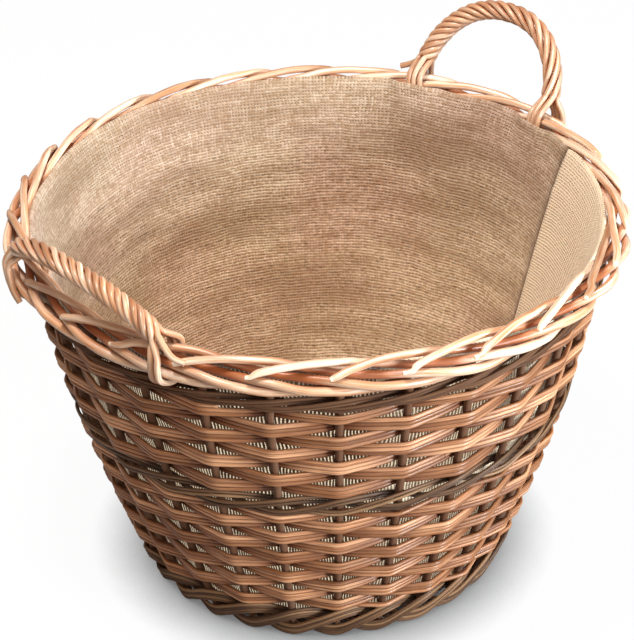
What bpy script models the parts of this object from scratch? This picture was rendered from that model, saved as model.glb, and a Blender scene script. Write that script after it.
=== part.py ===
# Round willow basket with a rope-twisted handle on each side and a sewn hessian liner.
# Metres, +Z up. The origin is the middle of the base, on the surface that it stands on.
import math

import bpy
import bmesh
from mathutils import Matrix, Vector

# The wall: bent willow stakes that lean outwards on a slightly bellied line
STAKE_COUNT = 27
STAKE_DIAMETER = 0.0072
STAKE_SIDES = 5
STAKE_WALL_SECTIONS = 4
STAKE_FOOT_HEIGHT = 0.003
FRONT_STAKE_ANGLE = math.radians(-86.6)
WALL_BASE_RADIUS = 0.161
WALL_BELLY = 0.0097

# The border: each stake's own end, bent over and laid in among its neighbours
BORDER_RADIUS = 0.265
BORDER_HEIGHT = 0.343
BORDER_ROD_DIAMETER = 0.008
BORDER_STEP_SHARE = 0.42
# Stake spacings run so far, then outwards and upwards of the border's middle in rod diameters
BORDER_PATH_SHARES = (
    (0.00, -1.60, -2.90),
    (0.10, -1.45, -2.35),
    (0.50, -0.25, -1.85),
    (1.00, 0.95, -1.35),
    (1.50, 1.45, -0.60),
    (1.95, 1.10, 0.05),
    (2.40, 0.22, 0.05),
    (2.90, -0.42, 0.08),
    (3.40, -0.66, 0.78),
    (3.90, -0.58, 1.48),
    (4.40, -0.05, 1.72),
    (4.85, 0.70, 1.40),
    (5.15, 1.40, 0.95),
)

# The siding: bands of three thin rods, in front of one stake and behind the next
SIDING_ROD_DIAMETER = 0.0041
SIDING_LOWER_ROWS = 10
SIDING_UPPER_ROWS = 7
SIDING_LOWER_LEAD = 9
SIDING_UPPER_LEAD = 3
SIDING_ROW_GAP = 0.0022
SIDING_LEAST_HEIGHT = 0.004

# The wales: three bands each, in front of two stakes and behind one
BOTTOM_WALE_THICKNESS = 0.0046
BOTTOM_WALE_BAND_HEIGHT = 0.0154
BOTTOM_WALE_SWELL = 0.0028
MIDDLE_WALE_THICKNESS = 0.0042
MIDDLE_WALE_BAND_HEIGHT = 0.0085
MIDDLE_WALE_SWELL = 0.0014
MIDDLE_WALE_HEIGHT_SHARE = 0.516
TOP_WALE_THICKNESS = 0.0042
TOP_WALE_BAND_HEIGHT = 0.0054
TOP_WALE_SWELL = 0.0014
TOP_WALE_DROP = 0.041
WALE_BANDS = 3
WALE_STEP_SHARE = 0.72

# The base: four sticks pierced through three slit ones, opened out as spokes and woven
BASE_MIDDLE_HEIGHT = 0.0082
BASE_EDGE_GAP = 0.0062
BASE_STICK_WIDTH = 0.011
BASE_STICK_PITCH = 0.0116
BASE_SPOKE_DIAMETER = 0.006
BASE_SPOKE_BEND_RADIUS = 0.048
BASE_SLIT_STICKS = 3
BASE_CROSS_STICKS = 4
BASE_SLIT_HEIGHT = 0.0058
BASE_CROSS_THICKNESS = 0.0052
BASE_STICK_SIDES = 8
BASE_WEAVE_INNER_RADIUS = 0.054
BASE_WEAVER_THICKNESS = 0.0042
BASE_WEAVER_WIDTH = 0.0092
BASE_WEAVER_GAP = 0.0004
BASE_WEAVE_CLEARANCE = 0.0009
BASE_WEAVER_LEAST_WIDTH = 0.003
BASE_WEAVERS = 2

# The handles: six strands twisted over a bow, their feet astride the border
HANDLE_BOW_DIAMETER = 0.0072
HANDLE_STRAND_DIAMETER = 0.0050
HANDLE_STRAND_GAP = 0.0009
HANDLE_TURNS = 3.0
HANDLE_POINTS_PER_TURN = 8
HANDLE_SLOT_PITCH = 0.0058
HANDLE_FOOT_OUTSET = 0.003
HANDLE_FOOT_RISE = 0.0135
HANDLE_TWIST_START = 0.016
HANDLE_BOW_START = 0.0170
REAR_HANDLE_LEFT_ANGLE = math.radians(67.6)
REAR_HANDLE_RIGHT_ANGLE = math.radians(36.1)
REAR_HANDLE_RISE = 0.0825
REAR_HANDLE_LEAN = math.radians(33.5)
REAR_HANDLE_ROUNDNESS = 2.16
FRONT_HANDLE_LEFT_ANGLE = math.radians(-117.9)
FRONT_HANDLE_RIGHT_ANGLE = math.radians(-161.0)
FRONT_HANDLE_RISE = 0.0416
FRONT_HANDLE_LEAN = math.radians(25.0)
FRONT_HANDLE_ROUNDNESS = 2.3
# Outwards and upwards of the border's middle, in border rod diameters
HANDLE_OUTER_LEG_SHARES = ((2.31, 1.63), (2.44, 0.50), (2.38, -0.75), (2.00, -1.88))
HANDLE_INNER_LEG_SHARES = ((-1.15, 2.45), (-1.56, 1.00), (-1.62, -1.00))
HANDLE_TURN_UNDER_SHARES = (
    (2.31, 1.63),
    (2.44, 0.50),
    (2.38, -0.75),
    (2.19, -1.88),
    (1.38, -3.13),
    (-1.25, -3.13),
    (-2.10, -2.00),
    (-1.62, -0.75),
    (-1.56, 1.00),
    (-1.15, 2.45),
)
# The cut tail: along the border in slot pitches, then outwards and upwards as above
HANDLE_TAIL_SHARES = ((2.0, 2.20, 2.20), (3.9, 2.10, 1.65))

# The liner: two side panels sewn to a round of the same hessian
LINER_THICKNESS = 0.0016
LINER_WALL_GAP = 0.0093
LINER_FOOT_INSET = 0.0033
LINER_HEM_INSET = 0.0157
LINER_HEM_RISE = 0.003
LINER_HEM_REAR_LIFT = 0.010
LINER_COLUMNS = 28
LINER_ROW_SHARES = (0.0, 0.08, 0.32, 0.57, 0.81, 1.0)
LINER_SEAM_ANGLE = math.radians(22.0)
LINER_NARROW_COLUMNS = 8

# Fits
SEAT_GAP = 0.0003
WEAVE_GAP = 0.0009
WALE_GAP = 0.0011
SEAM_GAP = 0.0004
CUT_OVERRUN = 0.004

PEELED_WILLOW = (0.86, 0.55, 0.33)
BUFF_WILLOW = (0.66, 0.42, 0.29)
BROWN_WILLOW = (0.27, 0.22, 0.15)
HESSIAN = (0.66, 0.55, 0.40)

# Sizes that follow from those above
STAKE_SPACING = 2 * math.pi / STAKE_COUNT
MIDDLE_WALE_LOW = MIDDLE_WALE_HEIGHT_SHARE * BORDER_HEIGHT
TOP_WALE_LOW = BORDER_HEIGHT - TOP_WALE_DROP
BASE_RADIUS = WALL_BASE_RADIUS - BASE_EDGE_GAP
HANDLE_FOOT_RADIUS = BORDER_RADIUS + HANDLE_FOOT_OUTSET
HANDLE_FOOT_HEIGHT = BORDER_HEIGHT + HANDLE_FOOT_RISE
LINER_FOOT_RADIUS = WALL_BASE_RADIUS - LINER_FOOT_INSET
LINER_HEM_RADIUS = BORDER_RADIUS - LINER_HEM_INSET
LINER_HEM_HEIGHT = BORDER_HEIGHT + LINER_HEM_RISE
ROOT_RADIUS = BORDER_RADIUS + BORDER_PATH_SHARES[0][1] * BORDER_ROD_DIAMETER
ROOT_HEIGHT = BORDER_HEIGHT + BORDER_PATH_SHARES[0][2] * BORDER_ROD_DIAMETER


def clear_scene():
    for item in list(bpy.data.objects):
        bpy.data.objects.remove(item, do_unlink=True)


def willow(name, colour, roughness):
    material = bpy.data.materials.new(name)
    material.use_nodes = True
    shader = material.node_tree.nodes["Principled BSDF"]
    shader.inputs["Base Color"].default_value = (*colour, 1.0)
    shader.inputs["Roughness"].default_value = roughness
    shader.inputs["Metallic"].default_value = 0.0
    return material


def add_object(name, mesh_data, colour, roughness):
    mesh = bpy.data.meshes.new(name)
    mesh_data.to_mesh(mesh)
    mesh_data.free()
    mesh.materials.append(willow(name, colour, roughness))
    mesh.shade_smooth()
    mesh.set_sharp_from_angle(angle=math.radians(40))
    item = bpy.data.objects.new(name, mesh)
    bpy.context.scene.collection.objects.link(item)
    return item


def polar(radius, angle, height):
    return Vector((radius * math.cos(angle), radius * math.sin(angle), height))


def tangents(points, closed):
    last = len(points) - 1
    found = []
    for index in range(len(points)):
        before = points[index - 1] if closed or index > 0 else points[index]
        after = points[(index + 1) % len(points)] if closed or index < last else points[index]
        found.append((after - before).normalized())
    return found


def loft(rings, closed):
    """Join rings of equal size into one closed body with outward faces."""
    data = bmesh.new()
    loops = [[data.verts.new(point) for point in ring] for ring in rings]
    count = len(loops[0])
    pairs = len(loops) if closed else len(loops) - 1
    for index in range(pairs):
        low = loops[index]
        high = loops[(index + 1) % len(loops)]
        for side in range(count):
            turn = (side + 1) % count
            data.faces.new((low[side], low[turn], high[turn], high[side]))
    if not closed:
        data.faces.new(list(reversed(loops[0])))
        data.faces.new(loops[-1])
    bmesh.ops.triangulate(data, faces=data.faces)
    bmesh.ops.recalc_face_normals(data, faces=data.faces)
    return data


def rod_rings(points, diameters, sides):
    """Rings square to the path, carried along it without turning."""
    directions = tangents(points, False)
    across = directions[0].orthogonal().normalized()
    rings = []
    for point, direction, diameter in zip(points, directions, diameters):
        across = (across - direction * across.dot(direction)).normalized()
        beside = direction.cross(across)
        ring = []
        for side in range(sides):
            angle = 2 * math.pi * side / sides
            offset = across * math.cos(angle) + beside * math.sin(angle)
            ring.append(point + offset * (diameter / 2))
        rings.append(ring)
    return rings


def wall_rings(points, thickness, heights, closed):
    """Oblong rings that follow the wall's lean upwards and have level upper and lower edges."""
    rings = []
    for point, direction, height in zip(points, tangents(points, closed), heights):
        outwards = Vector((point.x, point.y, 0)).normalized()
        rise = (outwards * wall_slope(point.z) + Vector((0, 0, 1))) * (height / 2)
        out = direction.cross(Vector((0, 0, 1))).normalized() * (thickness / 2)
        rings.append([point + out + rise, point + out - rise, point - out - rise, point - out + rise])
    return rings


def flat_rings(points, widths, thickness):
    """Oblong rings for a band that lies level, with its thickness along +Z."""
    rings = []
    rise = Vector((0, 0, thickness / 2))
    for point, direction, width in zip(points, tangents(points, False), widths):
        out = direction.cross(Vector((0, 0, 1))).normalized() * (width / 2)
        rings.append([point + out + rise, point + out - rise, point - out - rise, point - out + rise])
    return rings


def smooth_value(table, place):
    """Read a smooth curve through the rows of a table at a place in its first column."""
    places = [row[0] for row in table]
    index = 0
    while index < len(places) - 2 and place > places[index + 1]:
        index += 1
    span = places[index + 1] - places[index]
    share = (place - places[index]) / span
    values = []
    for column in range(1, len(table[0])):
        slopes = []
        for row in (index, index + 1):
            low = max(row - 1, 0)
            high = min(row + 1, len(table) - 1)
            rise = table[high][column] - table[low][column]
            slopes.append(rise / (places[high] - places[low]) * span)
        start = table[index][column]
        end = table[index + 1][column]
        values.append(
            (2 * share**3 - 3 * share**2 + 1) * start
            + (share**3 - 2 * share**2 + share) * slopes[0]
            + (3 * share**2 - 2 * share**3) * end
            + (share**3 - share**2) * slopes[1]
        )
    return values


def bellied_radius(share):
    straight = WALL_BASE_RADIUS + (ROOT_RADIUS - WALL_BASE_RADIUS) * share
    return straight + 4 * WALL_BELLY * share * (1 - share)


def wall_span(height):
    """The two ends, as shares of the wall's height, of the stake's run at a height."""
    run = min(max(math.floor(height / ROOT_HEIGHT * STAKE_WALL_SECTIONS), 0), STAKE_WALL_SECTIONS - 1)
    return run / STAKE_WALL_SECTIONS, (run + 1) / STAKE_WALL_SECTIONS


def wall_slope(height):
    low, high = wall_span(height)
    return (bellied_radius(high) - bellied_radius(low)) / ((high - low) * ROOT_HEIGHT)


def wall_radius(height):
    """The stakes' middle line, from the base to the root of the border."""
    low = wall_span(height)[0]
    return bellied_radius(low) + wall_slope(height) * (height - low * ROOT_HEIGHT)


def stake_angle(index):
    return FRONT_STAKE_ANGLE + index * STAKE_SPACING


def stake(number):
    """One stake: up the wall, over into the border and round to its cut end."""
    angle = stake_angle(number)
    points = []
    for index in range(STAKE_WALL_SECTIONS):
        height = max(STAKE_FOOT_HEIGHT, ROOT_HEIGHT * index / STAKE_WALL_SECTIONS)
        points.append(polar(wall_radius(height), angle, height))
    end = BORDER_PATH_SHARES[-1][0]
    bend = BORDER_PATH_SHARES[1][0]
    steps = round((end - bend) / BORDER_STEP_SHARE)
    places = [0.0] + [bend + (end - bend) * index / steps for index in range(steps + 1)]
    for place in places:
        out, rise = smooth_value(BORDER_PATH_SHARES, place)
        radius = BORDER_RADIUS + out * BORDER_ROD_DIAMETER
        height = BORDER_HEIGHT + rise * BORDER_ROD_DIAMETER
        points.append(polar(radius, angle - place * STAKE_SPACING, height))
    wall = [STAKE_DIAMETER] * (STAKE_WALL_SECTIONS + 1)
    border = [BORDER_ROD_DIAMETER] * (len(places) - 1)
    rings = rod_rings(points, wall + border, STAKE_SIDES)
    name = "side_stake_%02d" % (number + 1)
    return add_object(name, loft(rings, False), PEELED_WILLOW, 0.45)


def siding(name, low, high, rows, lead):
    """One unbroken band that winds up the wall, thin where it starts and where it ends."""
    reach = STAKE_DIAMETER / 2 + SIDING_ROD_DIAMETER / 2 + WEAVE_GAP
    pitch = (high - low) / rows
    points = []
    heights = []
    for index in range((rows + 1) * STAKE_COUNT + 1):
        wound = index / STAKE_COUNT
        bottom = max(low, low + pitch * (wound - 1))
        top = min(high, low + pitch * wound)
        if top - bottom - SIDING_ROW_GAP < SIDING_LEAST_HEIGHT - SIDING_ROW_GAP:
            continue
        side = 1 if index % 2 == 0 else -1
        middle = (bottom + top) / 2
        points.append(polar(wall_radius(middle) + side * reach, stake_angle(index - lead), middle))
        heights.append(top - bottom - SIDING_ROW_GAP)
    rings = wall_rings(points, SIDING_ROD_DIAMETER, heights, False)
    return add_object(name, loft(rings, False), BUFF_WILLOW, 0.55)


def wale_band(name, number, low, thickness, height, swell):
    """A closed round that passes in front of two stakes and behind the third."""
    reach = STAKE_DIAMETER / 2 + thickness / 2 + WALE_GAP
    step = WALE_STEP_SHARE * height
    middle = low + step + height / 2
    stations = {
        0: ((-reach, 0.0), (0.0, -step)),
        1: ((reach, -step), (reach + swell, 0.0)),
        2: ((reach, step), (0.0, step)),
    }
    points = []
    for index in range(STAKE_COUNT):
        for half, (out, rise) in enumerate(stations[(index + number) % WALE_BANDS]):
            angle = stake_angle(index + half / 2)
            points.append(polar(wall_radius(middle + rise) + out, angle, middle + rise))
    rings = wall_rings(points, thickness, [height] * len(points), True)
    return add_object(name, loft(rings, True), BROWN_WILLOW, 0.6)


def wale_top(low, height):
    return low + 2 * WALE_STEP_SHARE * height + height


def wales():
    rounds = (
        ("bottom_wale_rod", 0.0, BOTTOM_WALE_THICKNESS, BOTTOM_WALE_BAND_HEIGHT, BOTTOM_WALE_SWELL),
        ("middle_wale_rod", MIDDLE_WALE_LOW, MIDDLE_WALE_THICKNESS, MIDDLE_WALE_BAND_HEIGHT,
         MIDDLE_WALE_SWELL),
        ("top_wale_rod", TOP_WALE_LOW, TOP_WALE_THICKNESS, TOP_WALE_BAND_HEIGHT, TOP_WALE_SWELL),
    )
    for name, low, thickness, height, swell in rounds:
        for number in range(WALE_BANDS):
            wale_band("%s_%d" % (name, number + 1), number, low, thickness, height, swell)


def oblong_rings(points, widths, heights, sides):
    """Rings with flat tops and undersides, for sticks that lie level."""
    rings = []
    for point, direction, width, height in zip(points, tangents(points, False), widths, heights):
        out = direction.cross(Vector((0, 0, 1))).normalized()
        flat = 1 / math.cos(math.pi / sides)
        ring = []
        for side in range(sides):
            angle = 2 * math.pi * (side + 0.5) / sides
            level = out * (math.cos(angle) * flat * width / 2)
            ring.append(point + level + Vector((0, 0, math.sin(angle) * flat * height / 2)))
        rings.append(ring)
    return rings


def base_stick_path(offset, spoke_angle, straight, turn):
    """A stick across the middle whose two ends open out to their spokes."""
    half = []
    half.append(Vector((straight, offset, 0)))
    half.append(polar(BASE_SPOKE_BEND_RADIUS, spoke_angle, 0))
    half.append(polar(BASE_RADIUS, spoke_angle, 0))
    mirrored = [Vector((-point.x, point.y, 0)) for point in reversed(half)]
    points = mirrored + half
    lift = Vector((0, 0, BASE_MIDDLE_HEIGHT))
    if turn:
        return [Vector((point.y, point.x, 0)) + lift for point in points]
    return [point + lift for point in points]


def base_sticks():
    spoke_spacing = math.pi / (BASE_SLIT_STICKS + BASE_CROSS_STICKS)
    slit_reach = BASE_CROSS_STICKS * BASE_STICK_PITCH / 2
    slit_straight = slit_reach + BASE_SLIT_HEIGHT / 2
    cross_straight = BASE_SLIT_STICKS * BASE_STICK_PITCH / 2 + BASE_SLIT_HEIGHT / 2
    ends = [BASE_SPOKE_DIAMETER, BASE_SPOKE_DIAMETER]
    for number in range(BASE_SLIT_STICKS):
        place = number - (BASE_SLIT_STICKS - 1) / 2
        offset = place * BASE_STICK_PITCH
        path = base_stick_path(offset, place * spoke_spacing, slit_straight, False)
        widths = ends + [BASE_STICK_WIDTH] * 2 + ends
        heights = ends + [2 * BASE_MIDDLE_HEIGHT] * 2 + ends
        name = "base_slit_stick_%d" % (number + 1)
        rings = oblong_rings(path, widths, heights, BASE_STICK_SIDES)
        item = add_object(name, loft(rings, False), BUFF_WILLOW, 0.6)
        cut_slit(item, offset, slit_reach)
    for number in range(BASE_CROSS_STICKS):
        place = number - (BASE_CROSS_STICKS - 1) / 2
        offset = place * BASE_STICK_PITCH
        path = base_stick_path(offset, place * spoke_spacing, cross_straight, True)
        widths = ends + [BASE_STICK_WIDTH] * 2 + ends
        heights = ends + [BASE_CROSS_THICKNESS] * 2 + ends
        name = "base_cross_stick_%d" % (number + 1)
        rings = oblong_rings(path, widths, heights, BASE_STICK_SIDES)
        add_object(name, loft(rings, False), BUFF_WILLOW, 0.6)


def cut_slit(item, offset, reach):
    """Open the slit that the cross sticks are pushed through."""
    data = bmesh.new()
    bmesh.ops.create_cube(data, size=1.0)
    size = (2 * reach, BASE_STICK_WIDTH + 2 * CUT_OVERRUN, BASE_SLIT_HEIGHT)
    bmesh.ops.scale(data, vec=size, verts=data.verts)
    bmesh.ops.translate(data, vec=(0, offset, BASE_MIDDLE_HEIGHT), verts=data.verts)
    cutter = add_object(item.name + "_slit_guide", data, BUFF_WILLOW, 0.6)
    cutter.hide_render = True
    cutter.display_type = 'WIRE'
    cut = item.modifiers.new("slit", 'BOOLEAN')
    cut.operation = 'DIFFERENCE'
    cut.object = cutter


def base_weaver(number):
    """One of two weavers that wind outwards, over and under the spokes in turn."""
    spokes = 2 * (BASE_SLIT_STICKS + BASE_CROSS_STICKS)
    rise = BASE_SPOKE_DIAMETER / 2 + BASE_WEAVER_THICKNESS / 2 + BASE_WEAVE_CLEARANCE
    pitch = BASE_WEAVERS * (BASE_WEAVER_WIDTH + BASE_WEAVER_GAP)
    turns = (BASE_RADIUS - BASE_WEAVE_INNER_RADIUS) / pitch + 1
    points = []
    widths = []
    for index in range(math.ceil(turns * spokes) + 1):
        edge = BASE_WEAVE_INNER_RADIUS + pitch * (index / spokes + number / BASE_WEAVERS - 1)
        inner = max(edge, BASE_WEAVE_INNER_RADIUS)
        outer = min(edge + BASE_WEAVER_WIDTH, BASE_RADIUS)
        if outer - inner < BASE_WEAVER_LEAST_WIDTH:
            continue
        side = 1 if (index + number) % 2 == 0 else -1
        angle = 2 * math.pi * index / spokes
        points.append(polar((inner + outer) / 2, angle, BASE_MIDDLE_HEIGHT + side * rise))
        widths.append(outer - inner)
    rings = flat_rings(points, widths, BASE_WEAVER_THICKNESS)
    return add_object("base_weaver_%d" % (number + 1), loft(rings, False), BUFF_WILLOW, 0.6)


class Handle:
    """The bow's line between two feet on the border, and what is wound on it."""

    def __init__(self, name, left, right, rise, lean, roundness):
        self.name = name
        self.left = left
        self.right = right
        out = polar(1.0, (left + right) / 2, 0)
        spread = (left - right) / 2
        self.spread = spread
        self.middle = out * (HANDLE_FOOT_RADIUS * math.cos(spread))
        self.middle.z = HANDLE_FOOT_HEIGHT
        self.half_width = HANDLE_FOOT_RADIUS * math.sin(spread)
        self.along = Vector((out.y, -out.x, 0))
        self.up = out * math.sin(lean) + Vector((0, 0, math.cos(lean)))
        self.out = out * math.cos(lean) - Vector((0, 0, math.sin(lean)))
        self.rise = rise
        self.roundness = roundness
        self.measure()

    def arch(self, turn):
        power = 2 / self.roundness
        level = math.copysign(abs(math.cos(turn)) ** power, math.cos(turn))
        high = abs(math.sin(turn)) ** power
        return self.middle - self.along * (self.half_width * level) + self.up * (self.rise * high)

    def measure(self):
        samples = 720
        self.line = [self.arch(math.pi * index / samples) for index in range(samples + 1)]
        self.runs = [0.0]
        for before, after in zip(self.line, self.line[1:]):
            self.runs.append(self.runs[-1] + (after - before).length)
        self.length = self.runs[-1]

    def at(self, run):
        """The bow's middle and its two cross directions at a length along it."""
        index = 1
        while index < len(self.runs) - 1 and self.runs[index] < run:
            index += 1
        share = (run - self.runs[index - 1]) / (self.runs[index] - self.runs[index - 1])
        before = self.line[index - 1]
        after = self.line[index]
        direction = (after - before).normalized()
        return before.lerp(after, share), self.out.cross(direction).normalized()

    def strand(self, start_angle):
        """One strand's twist over the bow, from the left foot to the right foot."""
        steps = round(HANDLE_TURNS * HANDLE_POINTS_PER_TURN)
        radius = HANDLE_BOW_DIAMETER / 2 + HANDLE_STRAND_GAP + HANDLE_STRAND_DIAMETER / 2
        span = self.length - 2 * HANDLE_TWIST_START
        points = []
        for index in range(steps + 1):
            share = index / steps
            middle, away = self.at(HANDLE_TWIST_START + span * share)
            angle = start_angle + self.spread + 2 * math.pi * HANDLE_TURNS * share
            offset = away * math.cos(angle) + self.out * math.sin(angle)
            points.append(middle + offset * radius)
        return points

    def leg(self, shares, foot, slot):
        """Points at one foot; the slot counts strands away from the handle's middle."""
        away = 1 if foot == self.left else -1
        angle = foot + away * slot * HANDLE_SLOT_PITCH / BORDER_RADIUS
        points = []
        for out, rise in shares:
            radius = BORDER_RADIUS + out * BORDER_ROD_DIAMETER
            points.append(polar(radius, angle, BORDER_HEIGHT + rise * BORDER_ROD_DIAMETER))
        return points

    def tail(self):
        points = []
        for slots, out, rise in HANDLE_TAIL_SHARES:
            points += self.leg(((out, rise),), self.left, slots)
        return points

    def rod(self, number, points):
        diameters = [HANDLE_STRAND_DIAMETER] * len(points)
        name = "%s_handle_rod_%d" % (self.name, number)
        add_object(name, loft(rod_rings(points, diameters, 4), False), PEELED_WILLOW, 0.45)

    def bow(self):
        count = 14
        span = self.length - 2 * HANDLE_BOW_START
        points = [self.at(HANDLE_BOW_START + span * index / count)[0] for index in range(count + 1)]
        rings = rod_rings(points, [HANDLE_BOW_DIAMETER] * len(points), 6)
        add_object(self.name + "_handle_bow", loft(rings, False), PEELED_WILLOW, 0.45)

    def build(self):
        self.bow()
        self.returning_rod(1, math.radians(90), 0)
        self.returning_rod(2, math.radians(30), -1)
        self.tailed_rod(3)

    def returning_rod(self, number, angle, slot):
        """Up from the right foot, under the border at the left foot and back again."""
        outer = self.strand(angle)
        inner = self.strand(-angle)
        points = list(reversed(self.leg(HANDLE_OUTER_LEG_SHARES, self.right, slot)))
        points += list(reversed(outer))
        points += self.leg(HANDLE_TURN_UNDER_SHARES, self.left, slot)
        points += inner
        points += self.leg(HANDLE_INNER_LEG_SHARES, self.right, slot)
        self.rod(number, points)

    def tailed_rod(self, number):
        """From a cut tail at the left foot, under the border at the right foot and back."""
        points = list(reversed(self.tail()))
        points += self.strand(math.radians(150))
        points += self.leg(HANDLE_TURN_UNDER_SHARES, self.right, 1)
        points += list(reversed(self.strand(math.radians(-150))))
        points += self.leg(HANDLE_INNER_LEG_SHARES, self.left, 1)
        self.rod(number, points)


def liner_profile(share, inset, angle):
    """The liner's line from the base to its hem, a little inside the weave."""
    foot = 2 * BASE_MIDDLE_HEIGHT + SEAM_GAP
    height = foot + (LINER_HEM_HEIGHT - foot) * share
    if share == 0:
        radius = LINER_FOOT_RADIUS
    elif share == 1:
        radius = LINER_HEM_RADIUS
        height += LINER_HEM_REAR_LIFT * (1 + math.sin(angle)) / 2
    else:
        radius = wall_radius(height) - LINER_WALL_GAP
    return radius - inset, height


def liner_panel(name, first, columns):
    """A side panel, drawn as a wall of even thickness between two seams."""
    column_angle = 2 * math.pi / LINER_COLUMNS
    seam = SEAM_GAP / LINER_FOOT_RADIUS / 2
    rings = []
    for column in range(columns + 1):
        angle = LINER_SEAM_ANGLE + (first + column) * column_angle
        if column == 0:
            angle += seam
        if column == columns:
            angle -= seam
        outer = [liner_profile(share, 0, angle) for share in LINER_ROW_SHARES]
        inner = [liner_profile(share, LINER_THICKNESS, angle) for share in reversed(LINER_ROW_SHARES)]
        rings.append([polar(radius, angle, height) for radius, height in outer + inner])
    return add_object(name, loft(rings, False), HESSIAN, 0.9)


def liner_round():
    foot = 2 * BASE_MIDDLE_HEIGHT + SEAM_GAP
    data = bmesh.new()
    radius = LINER_FOOT_RADIUS - LINER_THICKNESS - SEAM_GAP
    bmesh.ops.create_cone(data, cap_ends=True, segments=LINER_COLUMNS, radius1=radius,
                          radius2=radius, depth=LINER_THICKNESS)
    middle = foot + LINER_THICKNESS / 2
    bmesh.ops.rotate(data, verts=data.verts, matrix=Matrix.Rotation(LINER_SEAM_ANGLE, 3, 'Z'))
    bmesh.ops.translate(data, vec=(0, 0, middle), verts=data.verts)
    bmesh.ops.triangulate(data, faces=data.faces)
    return add_object("liner_base", data, HESSIAN, 0.9)


def liner():
    liner_panel("liner_wide_panel", 0, LINER_COLUMNS - LINER_NARROW_COLUMNS)
    liner_panel("liner_narrow_panel", LINER_COLUMNS - LINER_NARROW_COLUMNS, LINER_NARROW_COLUMNS)
    liner_round()


def main():
    clear_scene()
    for number in range(STAKE_COUNT):
        stake(number)
    low = wale_top(0.0, BOTTOM_WALE_BAND_HEIGHT) + SEAT_GAP
    siding("siding_lower", low, MIDDLE_WALE_LOW - SEAT_GAP, SIDING_LOWER_ROWS, SIDING_LOWER_LEAD)
    low = wale_top(MIDDLE_WALE_LOW, MIDDLE_WALE_BAND_HEIGHT) + SEAT_GAP
    siding("siding_upper", low, TOP_WALE_LOW - SEAT_GAP, SIDING_UPPER_ROWS, SIDING_UPPER_LEAD)
    wales()
    base_sticks()
    for number in range(BASE_WEAVERS):
        base_weaver(number)
    Handle("rear", REAR_HANDLE_LEFT_ANGLE, REAR_HANDLE_RIGHT_ANGLE, REAR_HANDLE_RISE,
           REAR_HANDLE_LEAN, REAR_HANDLE_ROUNDNESS).build()
    Handle("front", FRONT_HANDLE_LEFT_ANGLE, FRONT_HANDLE_RIGHT_ANGLE, FRONT_HANDLE_RISE,
           FRONT_HANDLE_LEAN, FRONT_HANDLE_ROUNDNESS).build()
    liner()


main()
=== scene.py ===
"""Looks of a round willow hamper with rope-twisted handles and a hessian liner."""
import math
import random
from bisect import bisect_left
from typing import NamedTuple

import bpy
from bpy.props import FloatProperty, FloatVectorProperty, IntProperty, PointerProperty
from mathutils import Matrix, Vector
from mathutils.kdtree import KDTree


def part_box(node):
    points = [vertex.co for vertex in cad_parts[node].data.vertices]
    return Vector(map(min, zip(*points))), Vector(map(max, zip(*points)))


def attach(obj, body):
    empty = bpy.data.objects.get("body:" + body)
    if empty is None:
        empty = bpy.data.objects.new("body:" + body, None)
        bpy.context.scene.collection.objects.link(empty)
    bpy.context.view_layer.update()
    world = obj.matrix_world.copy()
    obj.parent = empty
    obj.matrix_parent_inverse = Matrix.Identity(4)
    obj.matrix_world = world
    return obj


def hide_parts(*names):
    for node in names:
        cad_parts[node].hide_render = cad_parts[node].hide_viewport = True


bl_info = {
    "name": "Willow Hamper",
    "version": (1, 0, 0),
    "blender": (4, 5, 0),
    "location": "View3D > Sidebar > Hamper",
    "description": "Dresses a round willow basket: stakes, weaving, border, handles and liner",
    "category": "Object",
}

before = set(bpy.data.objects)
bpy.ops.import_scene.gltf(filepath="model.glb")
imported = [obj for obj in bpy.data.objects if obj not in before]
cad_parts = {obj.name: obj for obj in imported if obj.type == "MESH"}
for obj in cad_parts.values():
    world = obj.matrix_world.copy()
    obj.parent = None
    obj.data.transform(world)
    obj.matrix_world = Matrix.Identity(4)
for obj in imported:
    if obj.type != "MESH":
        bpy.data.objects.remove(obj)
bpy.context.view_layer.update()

TURN = 2 * math.pi


# Sizes and colours

def length(name, text, value):
    return FloatProperty(name=name, description=text, default=value, min=0.0, unit='LENGTH')


def share(name, text, value):
    return FloatProperty(name=name, description=text, default=value)


def angle(name, text, degrees):
    return FloatProperty(name=name, description=text, default=math.radians(degrees),
                         subtype='ANGLE')


def colour(name, text, value):
    return FloatVectorProperty(name=name, description=text, default=value, size=3,
                               subtype='COLOR', min=0.0, max=1.0)


def count(name, text, value):
    return IntProperty(name=name, description=text, default=value, min=1)


class WallSizes(bpy.types.PropertyGroup):
    """The wall's line and its stakes."""
    stakes: count("Stakes", "Stakes around the wall, an odd number", 27)
    stake_diameter: length("Stake", "Diameter of a stake in the wall", 0.0072)
    front_angle: angle("Front stake", "Direction of the stake nearest the front", -86.6)
    foot_radius: length("Foot radius", "Stakes' middle line at the floor", 0.161)
    root_radius: length("Root radius", "Stakes' middle line where they bend to the border", 0.2522)
    root_height: length("Root height", "Height of that bend", 0.3198)
    belly: length("Belly", "How far the wall's middle stands outside a straight line", 0.0097)


class WeaveSizes(bpy.types.PropertyGroup):
    """The siding's rods."""
    butt: length("Siding butt", "Thickness at a siding rod's thick end", 0.0049)
    tip: length("Siding tip", "Thickness at a siding rod's thin end", 0.0041)
    band_pitch: length("Band pitch", "Height from one rod of a band to the next", 0.0046)
    band_rods: count("Rods in a band", "Rods woven side by side", 3)
    lower_rows: count("Lower rows", "Rows between the bottom and middle wales", 10)
    upper_rows: count("Upper rows", "Rows between the middle and top wales", 7)
    rod_turns: share("Rod's reach", "Turns of the wall that one rod covers", 1.3)


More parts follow.
